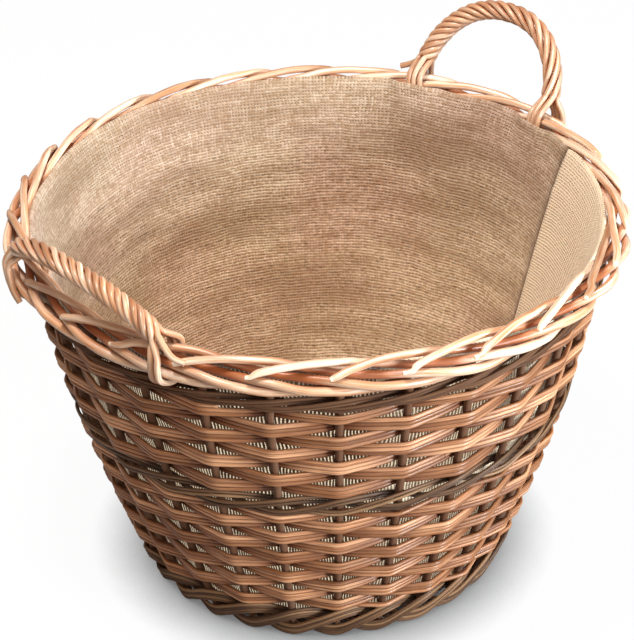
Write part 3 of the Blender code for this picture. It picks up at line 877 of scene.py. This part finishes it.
class Handle:
    """The line of a bow between its two feet, and the strands that are wound on it."""

    def __init__(self, left, right, rise, lean, roundness, slant, seed):
        sizes = settings().handle
        border = settings().border
        self.left = math.radians(left)
        self.right = math.radians(right)
        self.rise = rise
        self.roundness = roundness
        self.slant = slant
        self.chance = random.Random(seed)
        self.spread = (self.left - self.right) / 2
        foot = border.radius + sizes.foot_outset
        out = polar(1.0, (self.left + self.right) / 2, 0)
        self.middle = out * (foot * math.cos(self.spread))
        self.middle.z = border.height + sizes.foot_rise
        self.half_width = foot * math.sin(self.spread)
        self.along = Vector((out.y, -out.x, 0))
        lean = math.radians(lean)
        self.up = out * math.sin(lean) + Vector((0, 0, math.cos(lean)))
        self.out = self.up.cross(self.along).normalized()
        if self.out.dot(out) < 0:
            self.out = -self.out
        self.line = [self.arch(math.pi * index / LINE_STEPS) for index in range(LINE_STEPS + 1)]
        self.runs = [0.0]
        for before, after in zip(self.line, self.line[1:]):
            self.runs.append(self.runs[-1] + (after - before).length)
        self.nearest = KDTree(len(self.line))
        for index, point in enumerate(self.line):
            self.nearest.insert(point, index)
        self.nearest.balance()

    def arch(self, turned):
        power = 2 / self.roundness
        level = math.copysign(abs(math.cos(turned)) ** power, math.cos(turned))
        high = abs(math.sin(turned)) ** power
        return self.middle - self.along * (self.half_width * level) + self.up * (self.rise * high)

    def at(self, run):
        """The place at a length along the bow, and the direction away from the bow's inside."""
        index = min(max(bisect_left(self.runs, run), 1), len(self.runs) - 1)
        before, after = self.line[index - 1:index + 1]
        part = (run - self.runs[index - 1]) / (self.runs[index] - self.runs[index - 1])
        direction = (after - before).normalized()
        return before.lerp(after, part), self.out.cross(direction).normalized()

    def strand(self, degrees):
        """The points of one pass over the bow, which starts at an angle around it."""
        sizes = settings().handle
        steps = round(sizes.turns * POINTS_PER_TURN)
        span = self.runs[-1] - 2 * sizes.twist_start
        points = []
        for index in range(steps + 1):
            part = index / steps
            middle, away = self.at(sizes.twist_start + span * part)
            wound = part + TWIST_SLACK * math.sin(math.pi * part) / math.pi
            turned = math.radians(degrees) + self.spread + TURN * sizes.turns * wound
            offset = away * math.cos(turned) + self.out * math.sin(turned)
            points.append(middle + offset * sizes.twist_radius)
        return points

    def leg(self, path, foot, slot):
        """A path around the border at one of a foot's slots."""
        border = settings().border
        away = 1 if foot == self.left else -1
        turned = foot + away * slot * settings().handle.slot / border.radius
        points = []
        for out, rise in path:
            drop = min(max((SLANT_TOP - rise) / SLANT_DEPTH, 0.0), 1.0) * (foot == self.right)
            points.append(polar(border.radius + out * border.pitch,
                                turned + drop * self.slant / border.radius,
                                border.height + rise * border.pitch))
        return points

    def rods(self):
        lines = [self.returning(90, 0), self.returning(30, -1), self.tailed()]
        size = settings().handle.strand
        return [Rod(line, tapered(size * 1.02, size * 0.97, len(line)), self.chance.random())
                for line in lines]

    def returning(self, degrees, slot):
        """A rod that goes over the bow, under the border at the left foot and back."""
        points = self.leg(OUTER_LEG, self.right, slot)[::-1]
        points += self.strand(degrees)[::-1]
        points += self.leg(TURN_UNDER, self.left, slot)
        points += self.strand(-degrees)
        return points + self.leg(INNER_LEG, self.right, slot)

    def tailed(self):
        """A rod that starts with a cut tail at the left foot and turns under at the right."""
        points = []
        for slot, out, rise in TAIL[::-1]:
            points += self.leg(((out, rise),), self.left, slot)
        points += self.strand(150)
        points += self.leg(TURN_UNDER, self.right, 1)
        points += self.strand(-150)[::-1]
        return points + self.leg(INNER_LEG, self.left, 1)

    def bow(self):
        span = self.runs[-1] - 2 * BOW_INSET
        points = [self.at(BOW_INSET + span * index / BOW_STEPS)[0]
                  for index in range(BOW_STEPS + 1)]
        return Rod(points, [settings().handle.bow] * len(points), self.chance.random())

    def off_bow(self, place):
        *_, distance = self.nearest.find(place)
        return distance


class HAMPER_OT_handles(bpy.types.Operator):
    """Twist the two handles"""
    bl_idname = "hamper.handles"
    bl_label = "Handles"

    def execute(self, context):
        finish = willow("peeled_rods")
        for name, plan in HANDLES.items():
            handle = Handle(**plan)
            item = sweep(name, handle.rods(), finish, sides=12, step=0.0026, wander=0.00015,
                         lumps=0.00025, seed=plan["seed"])
            mark_recess_shade(item, handle.off_bow, HANDLE_DEEPEST, HANDLE_DEPTH)
            settle(item, "peeled_willow", *nodes_named(name + "_rod"))
            core = sweep(name + "_core", [handle.bow()], finish, sides=12)
            settle(core, "peeled_willow", name + "_bow")
        return {'FINISHED'}


# Hessian

def thread_height(tree, place, slub):
    """Round in section: one at the thread's middle and nothing between threads."""
    aside = tree.math('ABSOLUTE', tree.math('FRACT', place) - 0.5)
    width = 0.24 + slub * 0.36
    return tree.math('MAXIMUM', 1 - (aside / width) ** 2.0, 0.0)


class Threads:
    """Uneven threads over and under each other: each one's height, and which is on top."""

    def __init__(self, tree, cloth, near_hem):
        pitch = settings().liner.thread
        drift = tree.also(tree.noise(cloth, 22.0, 2.0, 0.5), "Color")
        pushed = tree.vector('SUBTRACT', drift, (0.5, 0.5, 0.5))
        parts = tree.parts(tree.vector('MULTIPLY_ADD', pushed, (0.012, 0.007, 0.0), cloth))
        across = parts / pitch
        upward = tree.also(parts, "Y") / pitch
        column = tree.math('FLOOR', across)
        row = tree.math('FLOOR', upward)
        over = tree.math('FLOORED_MODULO', column + row, 2.0)
        self.chance = tree.add("ShaderNodeTexWhiteNoise", {"noise_dimensions": '3D'},
                               {"Vector": tree.joined(column, row, 0.0)})
        warp_slub = tree.stretched_noise(cloth, (330.0, 30.0, 1.0), 2.0, 0.5)
        weft_slub = tree.stretched_noise(cloth, (26.0, 330.0, 1.0), 2.0, 0.5)
        self.warp = thread_height(tree, across, warp_slub)
        self.weft = thread_height(tree, upward, weft_slub)
        warp_top = self.warp * (0.42 + over * 0.28 + near_hem * 0.2)
        weft_top = self.weft * (1.0 - over * 0.2)
        self.height = tree.math('MAXIMUM', warp_top, weft_top)
        self.slub = tree.add("ShaderNodeMix", {"data_type": 'FLOAT'},
                             {0: weft_top > warp_top, 2: warp_slub, 3: weft_slub})


def worn_cloth(tree, cloth, hem, fresh, light, pale, middle):
    """The threads' colour with its wear and stains, and darker towards the hem."""
    tones = settings().colours
    dark = opaque(tones.hessian_dark)
    wear = tree.stretched_noise(cloth, (7.0, 26.0, 1.0), 4.0, 0.62)
    stains = tree.stretched_noise(cloth, (9.0, 9.0, 1.0), 4.0, 0.65)
    skin = tree.mix(light, middle, pale)
    worn = tree.ramp(wear, (0.38, 1.0), (0.60, 0.0)) * (1 - fresh)
    skin = tree.mix(worn * 0.6, skin, opaque(tones.hessian_worn))
    skin = tree.mix(tree.ramp(wear, (0.58, 0.0), (0.72, 0.45)), skin, pale)
    blush = tree.ramp(tree.noise(cloth, 7.0, 2.0, 0.5), (0.42, 0.0), (0.62, 1.0))
    skin = tree.mix(blush, skin, (1.0, 0.93, 0.98, 1.0), 'MULTIPLY')
    skin = tree.mix(fresh * 0.75, skin, opaque(tones.hessian_fresh))
    # Darker and greyer towards the hem, on the wide panel.
    darker_to_hem = tree.ramp(hem, (0.50, 0.0), (0.95, 1.0)) * (1 - fresh)
    skin = tree.mix(darker_to_hem, skin, (0.80, 0.79, 0.84, 1.0), 'MULTIPLY')
    spots = tree.ramp(stains, (0.66, 0.0), (0.76, 0.7)) * tree.ramp(hem, (0.72, 0.0), (0.95, 1.0))
    skin = tree.mix(spots, skin, dark)
    # Painted shadow of the fold beside the seam, on the wide panel.
    return tree.mix(tree.attribute("seam") * 0.6, skin, dark)


def hessian(name, pale, middle, between, wide, lit):
    """Plain-woven jute with gaps between its threads; if lit, light is painted into the gaps and
    made to glow.
    """
    material, tree = new_material(name)
    cloth = tree.attribute("cloth", "Vector")
    hem = tree.attribute("hem")
    fresh = tree.attribute("fresh")
    near_hem = tree.ramp(hem, (0.80, 0.0), (0.90, 1.0))
    threads = Threads(tree, cloth, near_hem)
    chance = threads.chance
    fibre = tree.noise(cloth, 1100.0, 2.0, 0.6)
    light = tree.ramp(threads.slub * 0.6 + fibre * 0.15 + chance * 0.25, (0.36, 0.0), (0.64, 1.0))
    skin = worn_cloth(tree, cloth, hem, fresh, light, opaque(pale), opaque(middle))
    loose = tree.stretched_noise(cloth, (14.0, 30.0, 1.0), 2.0, 0.6)
    open_weave = tree.ramp(loose, (0.34, 0.4), (0.60, 1.0)) * (0.3 + chance * chance * 0.9)
    # On the outer face the gaps between the warp threads are painted in the light colour; on the
    # inner face they are dark between the threads.
    if lit:
        gaps = tree.ramp(threads.warp + threads.weft * 0.3, (wide, 1.0), (wide + 0.3, 0.0))
    else:
        gaps = tree.ramp(threads.height, (wide, 1.0), (wide + 0.34, 0.0))
    skin = tree.mix(gaps * open_weave, skin, opaque(between))
    dashes = tree.ramp(tree.stretched_noise(cloth, (190.0, 380.0, 1.0), 1.0, 0.5),
                       (0.52, 0.0), (0.66, 1.0))
    dashes = dashes * (1 - threads.weft) * (1 - near_hem * 0.7) * (1 - fresh * 0.6)
    skin = tree.mix(dashes * 0.6, skin, opaque(settings().colours.hessian_dark))
    bump = tree.add("ShaderNodeBump", None, {
        "Strength": 0.8, "Distance": 0.0009, "Height": threads.height + fibre * 0.2})
    sockets = {"Base Color": skin, "Roughness": 0.92, "Normal": bump, "Metallic": 0.0,
               "Specular IOR Level": 0.25, "Sheen Weight": 0.12, "Sheen Roughness": 0.6}
    # Painted light: the outer face's gaps glow, less near the hem and towards the right.
    if lit:
        sideways = tree.parts(tree.coordinate("Object"))
        sunny = tree.ramp(hem, (0.86, 1.0), (0.93, 0.15))
        sunny = sunny * tree.ramp(sideways + 0.5, (0.62, 1.0), (0.70, 0.25))
        sockets["Emission Color"] = tree.mix(gaps * (0.5 + chance * 0.5) * sunny, BLACK,
                                             opaque(between))
        sockets["Emission Strength"] = 1.0
    tree.surface("ShaderNodeBsdfPrincipled", sockets)
    return material


# Liner

LINER_COLUMNS = 360
LINER_ROWS = 72
LINER_MEAN_RADIUS = 0.215
LINER_SLOPE = 0.345
FOLDS = 16
FOLD_SEED = 51
FOLD_SHARE = 0.88
FOLD_FADE = 0.2
HEM_LEAN_POWER = 1.4
FOOT_ROOM = 2.6
FOOT_ROOM_FADE = 3.5
# Direction and width in degrees, then how far the hem hangs lower
HEM_SLACK = (
    (58.0, 7.0, 0.0045),
    (24.0, 3.0, 0.003),
    (-8.0, 6.0, 0.002),
    (122.0, 7.0, 0.001),
    (164.0, 6.0, 0.003),
    (84.0, 13.0, 0.0026),
    (103.0, 12.0, 0.0030),
)
# Outwards in millimetres and upwards in metres
HEM_ROLL = ((1.2, 0.0007), (2.4, 0.0), (2.9, -0.0014), (2.4, -0.0032), (1.7, -0.0042))
PANEL_GAP = 0.0012
# SEAM_WIDTH is how far the painted shadow beside the seam reaches.
SEAM_WIDTH = 0.006
SEAM_RIDGE = 0.0012
SEAM_RIDGE_WIDTH = 0.0035
SEAM_RIDGE_FADE = 0.12
ROUND_RINGS = 24
ROUND_COLUMNS = 96
ROUND_INSET = 0.003
ROUND_SLACK = 0.0009


def degrees_from(turned, middle):
    return math.degrees(math.remainder(turned - math.radians(middle), TURN))


def hem_spread(turned):
    """How far the hem leans out over the border, less where a handle's feet stand inside it."""
    free = 1.0
    for plan in HANDLES.values():
        for foot in (plan["left"], plan["right"]):
            away = abs(degrees_from(turned, foot))
            free = min(free, max(0.0, (away - FOOT_ROOM) / FOOT_ROOM_FADE))
    return settings().liner.hem_spread * free * free * (3 - 2 * free)


def hem_slack(turned):
    """Where the hem has slipped a little between two stitches."""
    slack = 0.0
    for middle, width, depth in HEM_SLACK:
        away = degrees_from(turned, middle) / width
        slack += depth * math.exp(-away * away)
    return slack


def liner_place(turned, part, folds):
    """A point of the side at a share of its height, with its soft folds."""
    liner = settings().liner
    top = liner.hem_height + liner.rear_lift * (1 + math.sin(turned)) / 2 - hem_slack(turned)
    height = liner.foot + (top - liner.foot) * part
    radius = wall_radius(min(height, settings().wall.root_height)) - liner.wall_gap
    if part > FOLD_SHARE:
        blend = (part - FOLD_SHARE) / (1 - FOLD_SHARE)
        lean = liner.hem_radius + hem_spread(turned) - radius
        radius += lean * blend ** HEM_LEAN_POWER
    else:
        ripple = 0.0
        for waves, phase, middle, reach, depth in folds:
            weight = max(0.0, 1 - abs(part - middle) / reach)
            ripple += depth * weight * (0.5 + 0.5 * math.sin(waves * turned + phase + 3 * part))
        radius -= ripple * min(1.0, (FOLD_SHARE - part) / FOLD_FADE)
    return polar(radius, turned, height)


def liner_folds():
    """Waves round the side, phase, middle and reach as shares of its height, and depth."""
    chance = random.Random(FOLD_SEED)
    return [(chance.randint(2, 13), chance.uniform(0, TURN), chance.uniform(0.1, 0.9),
             chance.uniform(0.2, 0.5), chance.uniform(0.0003, 0.0011)) for _ in range(FOLDS)]


def liner_panel(name, start, turn, folds, fresh, finishes):
    """One side panel as a grid that carries its cloth coordinates."""
    columns = max(8, round(LINER_COLUMNS * turn / TURN))
    slant = settings().liner.seam_slant
    points = []
    marks = {"cloth": [], "hem": [], "seam": [], "fresh": []}
    for row in range(LINER_ROWS + 1 + len(HEM_ROLL)):
        part = min(row / LINER_ROWS, 1.0)
        out, rise = HEM_ROLL[row - LINER_ROWS - 1] if row > LINER_ROWS else (0.0, 0.0)
        for column in range(columns + 1):
            turned = (start + PANEL_GAP + (turn - 2 * PANEL_GAP) * column / columns
                      + slant * (1 - part))
            edge = min(column, columns - column) / columns * turn * 0.25
            ridge = (SEAM_RIDGE * math.exp(-(edge / SEAM_RIDGE_WIDTH) ** 2)
                     * min(1.0, (1 - part) / SEAM_RIDGE_FADE))
            place = liner_place(turned, part, folds)
            points.append(place + polar(out * 0.001 - ridge, turned, rise))
            marks["cloth"] += [turned * LINER_MEAN_RADIUS, part * LINER_SLOPE - rise, 0.0]
            marks["hem"].append(part)
            # Painted shadow beside the seam, on the wide panel only.
            marks["seam"].append((1 - fresh) * math.exp(-(edge / SEAM_WIDTH) ** 2))
            marks["fresh"].append(fresh)
    wide = columns + 1
    faces = []
    for row in range(LINER_ROWS + len(HEM_ROLL)):
        for column in range(columns):
            first = row * wide + column
            faces.append((first, first + wide, first + wide + 1, first + 1))
    return cloth_object(name, points, faces, marks, finishes)


def cloth_object(name, points, faces, marks, finishes):
    """A sheet with an inner and an outer face."""
    mesh = bpy.data.meshes.new(name)
    mesh.from_pydata(points, [], faces)
    for key, values in marks.items():
        mark(mesh, key, values)
    for finish in finishes:
        mesh.materials.append(finish)
    mesh.shade_smooth()
    item = placed(name, mesh)
    solid = item.modifiers.new("cloth", 'SOLIDIFY')
    solid.thickness = settings().liner.thickness
    solid.offset = 0.0
    solid.material_offset = 1
    return made_plain(item, name)


def liner_round(edge, finish):
    """The round of cloth on the bottom, with a slight slack."""
    columns = ROUND_COLUMNS
    level = settings().liner.foot + ROUND_SLACK
    points = [Vector((0, 0, level))]
    for ring in range(1, ROUND_RINGS + 1):
        for column in range(columns):
            turned = TURN * column / columns
            slack = (ROUND_SLACK * math.sin(3 * turned + ring * 0.4)
                     * math.sin(math.pi * ring / ROUND_RINGS))
            points.append(polar(edge * ring / ROUND_RINGS, turned, level + abs(slack)))
    faces = [(0, 1 + column, 1 + (column + 1) % columns) for column in range(columns)]
    for low in range(1, 1 + (ROUND_RINGS - 1) * columns, columns):
        high = low + columns
        for column in range(columns):
            after = (column + 1) % columns
            faces.append((low + column, high + column, high + after, low + after))
    cloth = [part for point in points for part in (point.x, point.y, 0.0)]
    return cloth_object("liner_base_cloth", points, faces, {"cloth": cloth}, (finish, finish))


class HAMPER_OT_liner(bpy.types.Operator):
    """Sew the hessian liner"""
    bl_idname = "hamper.liner"
    bl_label = "Liner"

    def execute(self, context):
        liner = settings().liner
        tones = settings().colours
        inside = hessian("hessian_inside", tones.hessian_pale, tones.hessian,
                         tones.hessian_dark, wide=0.08, lit=False)
        # The outer face: a copy of the hessian in painted shade, with painted light glowing in its
        # gaps.
        outside = hessian("hessian_outside", tones.hessian_worn, tones.hessian_shade,
                          tones.hessian_light, wide=0.38, lit=True)
        folds = liner_folds()
        narrow = TURN * liner.narrow_share
        panels = (("liner_wide_cloth", "liner_wide_panel", liner.seam_angle, TURN - narrow, 0.0),
                  ("liner_narrow_cloth", "liner_narrow_panel", liner.seam_angle - narrow,
                   narrow, 1.0))
        for name, node, start, turn, fresh in panels:
            item = liner_panel(name, start, turn, folds, fresh, (inside, outside))
            settle(item, "hessian", node)
        edge = wall_radius(liner.foot) - liner.wall_gap - ROUND_INSET
        bottom = liner_round(edge, inside)
        settle(bottom, "hessian", "liner_base")
        return {'FINISHED'}


# Base

BASE_SEED = 61
BASE_SPOKES = 14
BASE_WEAVERS = 2
BASE_INNER_RADIUS = 0.052
BASE_OUTER_RADIUS = 0.1535
BASE_MIDDLE = 0.0082
BASE_LIFT = 0.0050
BASE_ROD = 0.0046
BASE_ROD_PITCH = BASE_ROD * 1.06
BASE_ROD_POINTS = 60
BASE_ROD_STRAY = 12
BASE_DEEPEST = 0.003
BASE_DEPTH = 0.003


def base_weave_rods(chance):
    """Pairs of thin rods that cross between the spokes as they wind outwards."""
    turns = (BASE_OUTER_RADIUS - BASE_INNER_RADIUS) / BASE_ROD_PITCH
    rods = []
    for weaver in range(BASE_WEAVERS):
        points = []
        for index in range(round(turns * BASE_SPOKES * 2)):
            run = index / 2
            radius = BASE_INNER_RADIUS + BASE_ROD_PITCH * run / BASE_SPOKES
            side = math.cos(math.pi * (run + weaver))
            points.append(polar(radius, TURN * run / BASE_SPOKES, BASE_MIDDLE + BASE_LIFT * side))
        rods += spliced(points, chance)
    return rods


def spliced(points, chance):
    """Rods that follow each other along one line."""
    rods = []
    start = 0
    while start < len(points) - 4:
        stray = chance.randint(-BASE_ROD_STRAY, BASE_ROD_STRAY)
        end = min(len(points), start + BASE_ROD_POINTS + stray)
        if len(points) - end < BASE_ROD_STRAY:
            end = len(points)
        run = points[start:end]
        sizes = tapered(BASE_ROD * 1.08, BASE_ROD * 0.88, len(run))
        rods.append(Rod(run, sizes, chance.random()))
        start = end - 1
    return rods


def off_base(place):
    return abs(place.z - BASE_MIDDLE)


class HAMPER_OT_base(bpy.types.Operator):
    """Weave the base and finish its sticks"""
    bl_idname = "hamper.base"
    bl_label = "Base"

    def execute(self, context):
        rods = base_weave_rods(random.Random(BASE_SEED))
        item = sweep("base_weave", rods, willow("base_rods"), sides=7, wander=0.0002, seed=6.0)
        mark_recess_shade(item, off_base, BASE_DEEPEST, BASE_DEPTH)
        settle(item, "buff_willow", *nodes_named("base_weaver"))
        for start, turned in (("base_slit", 0.0), ("base_cross", math.pi / 2)):
            for name in nodes_named(start):
                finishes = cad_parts[name].data.materials
                finishes.clear()
                finishes.append(willow("base_rods", name + "_skin", stick_grain(turned)))
        return {'FINISHED'}


# Stage

CAMERA_PLACE = (-0.0021, -2.1114, 1.5488)
CAMERA_TARGET = (-0.0021, 0.0, 0.2337)
CAMERA_ROLL = -1.204
CAMERA_FOCAL = 152.97
FLOOR_SIZE = 12.0
FLOOR_LEVEL = -0.0002
FLOOR_SHADOW_REACH = 0.05
LAMP_TARGET = (0.0, 0.0, 0.2)
# Place, diameter, power and colour
LAMPS = {
    "top": ((-0.35, -0.3, 2.6), 0.6, 60, (1.0, 1.0, 1.0)),
    "right": ((2.15, -1.4, 0.75), 0.8, 115, (0.76, 0.90, 1.0)),
    "front": ((0.3, -2.2, 2.1), 0.9, 18, (1.0, 1.0, 1.0)),
}
WORLD_LIGHT = (1.0, 0.865, 0.72, 1.0)


def facing(place, target):
    return (Vector(target) - Vector(place)).to_track_quat('-Z', 'Y')


def add_camera():
    data = bpy.data.cameras.new("camera")
    data.sensor_fit = 'VERTICAL'
    data.sensor_height = 36.0
    data.lens = CAMERA_FOCAL
    data.clip_end = 20.0
    camera = placed("camera", data)
    camera.matrix_world = (Matrix.Translation(CAMERA_PLACE)
                           @ facing(CAMERA_PLACE, CAMERA_TARGET).to_matrix().to_4x4()
                           @ Matrix.Rotation(math.radians(CAMERA_ROLL), 4, 'Z'))
    bpy.context.scene.camera = camera


def add_lamps():
    for name, (place, size, power, tint) in LAMPS.items():
        data = bpy.data.lights.new(name, 'AREA')
        data.shape = 'DISK'
        data.size = size
        data.energy = power
        data.color = tint
        lamp = placed(name, data)
        lamp.location = place
        lamp.rotation_euler = facing(place, LAMP_TARGET).to_euler()


def add_world():
    """A white background, and a weaker, warmer light from it."""
    world = bpy.data.worlds.new("studio")
    world.use_nodes = True
    world.node_tree.nodes.clear()
    tree = Tree(world.node_tree)
    seen = tree.add("ShaderNodeLightPath")
    sky = tree.add("ShaderNodeBackground", None, {
        "Color": tree.mix(seen, WORLD_LIGHT, WHITE), "Strength": 0.27 + seen * 0.73})
    tree.add("ShaderNodeOutputWorld", None, {"Surface": sky})
    bpy.context.scene.world = world


def add_floor():
    """A floor that is white to the camera, with a soft shadow mostly painted from ambient
    occlusion, and grey to the lamps' light.
    """
    corners = [(-1, -1), (1, -1), (1, 1), (-1, 1)]
    mesh = bpy.data.meshes.new("floor")
    mesh.from_pydata([(x * FLOOR_SIZE, y * FLOOR_SIZE, FLOOR_LEVEL) for x, y in corners],
                     [], [(0, 1, 2, 3)])
    material, tree = new_material("floor")
    matt = tree.add("ShaderNodeBsdfDiffuse", None,
                    {"Color": (0.4, 0.4, 0.4, 1.0), "Roughness": 0.0})
    # Painted shadow: the white that the camera sees is darkened by ambient occlusion near the
    # basket.
    painted_contact_shadow = tree.add("ShaderNodeAmbientOcclusion", {"samples": 8},
                    {"Distance": FLOOR_SHADOW_REACH}, "AO")
    white = tree.add("ShaderNodeEmission", None, {"Color": painted_contact_shadow, "Strength": 1.06})
    seen = tree.add("ShaderNodeLightPath")
    tree.surface("ShaderNodeMixShader", {0: seen * 0.9, 1: matt, 2: white})
    mesh.materials.append(material)
    placed("floor", mesh)


class HAMPER_OT_stage(bpy.types.Operator):
    """Set up the floor, the lights and the camera"""
    bl_idname = "hamper.stage"
    bl_label = "Stage"

    def execute(self, context):
        add_camera()
        add_world()
        add_floor()
        add_lamps()
        context.scene.view_settings.view_transform = 'Standard'
        return {'FINISHED'}


class HAMPER_PT_panel(bpy.types.Panel):
    """The hamper's steps in the 3D view's sidebar"""
    bl_idname = "HAMPER_PT_panel"
    bl_label = "Willow Hamper"
    bl_space_type = 'VIEW_3D'
    bl_region_type = 'UI'
    bl_category = "Hamper"

    def draw(self, context):
        for step in STEPS:
            self.layout.operator(step.bl_idname)


STEPS = (HAMPER_OT_stakes, HAMPER_OT_siding, HAMPER_OT_wales, HAMPER_OT_base, HAMPER_OT_handles,
         HAMPER_OT_liner, HAMPER_OT_stage)
GROUPS = (WallSizes, WeaveSizes, BorderSizes, HandleSizes, LinerSizes, Colours, HamperSettings)


def register():
    for item in GROUPS + STEPS + (HAMPER_PT_panel,):
        bpy.utils.register_class(item)
    bpy.types.Scene.hamper = PointerProperty(type=HamperSettings)


def unregister():
    del bpy.types.Scene.hamper
    for item in reversed(GROUPS + STEPS + (HAMPER_PT_panel,)):
        bpy.utils.unregister_class(item)


def main():
    register()
    for step in STEPS:
        group, name = step.bl_idname.split(".")
        getattr(getattr(bpy.ops, group), name)()


if __name__ == "__main__":
    main()
